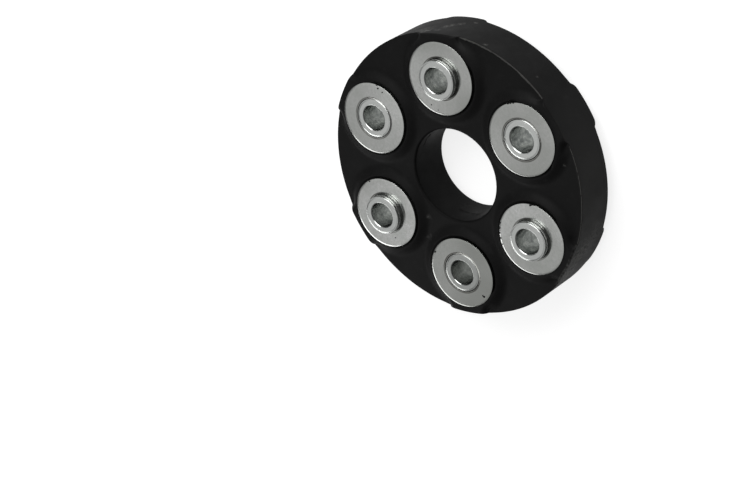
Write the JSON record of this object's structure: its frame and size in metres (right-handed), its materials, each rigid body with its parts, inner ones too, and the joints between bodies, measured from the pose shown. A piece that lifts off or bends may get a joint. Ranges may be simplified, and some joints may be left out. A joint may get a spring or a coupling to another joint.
{
  "type": "flexible disc coupling",
  "caption": "Flexible rubber disc coupling with steel sleeves that stand out of each face in turn, joining two three-arm shaft flanges.",
  "frame": {"origin": "on the disc's axis, level with the ends of the three lower sleeves", "axes": "+Z along the shaft axis, up through the disc as it lies; +X through the middle of sleeve 1"},
  "size_m": [0.1436, 0.1436, 0.0355],
  "materials": {
    "rubber": "satin black moulded rubber",
    "sleeve_steel": "turned steel, zinc plated",
    "washer_steel": "stamped steel, satin zinc plate",
    "cord": "wound polyester cord"
  },
  "bodies": {
    "root": {"rubber_body": "rubber", "sleeve_1": "sleeve_steel", "sleeve_2": "sleeve_steel", "sleeve_3": "sleeve_steel", "sleeve_4": "sleeve_steel", "sleeve_5": "sleeve_steel", "sleeve_6": "sleeve_steel", "washer_top_1": "washer_steel", "washer_top_2": "washer_steel", "washer_top_3": "washer_steel", "washer_top_4": "washer_steel", "washer_top_5": "washer_steel", "washer_top_6": "washer_steel", "washer_bottom_1": "washer_steel", "washer_bottom_2": "washer_steel", "washer_bottom_3": "washer_steel", "washer_bottom_4": "washer_steel", "washer_bottom_5": "washer_steel", "washer_bottom_6": "washer_steel", "cord_middle_1": "cord", "cord_middle_2": "cord", "cord_middle_3": "cord", "cord_upper_1": "cord", "cord_upper_2": "cord", "cord_upper_3": "cord", "cord_lower_1": "cord", "cord_lower_2": "cord", "cord_lower_3": "cord"}
  },
  "joints": []
}
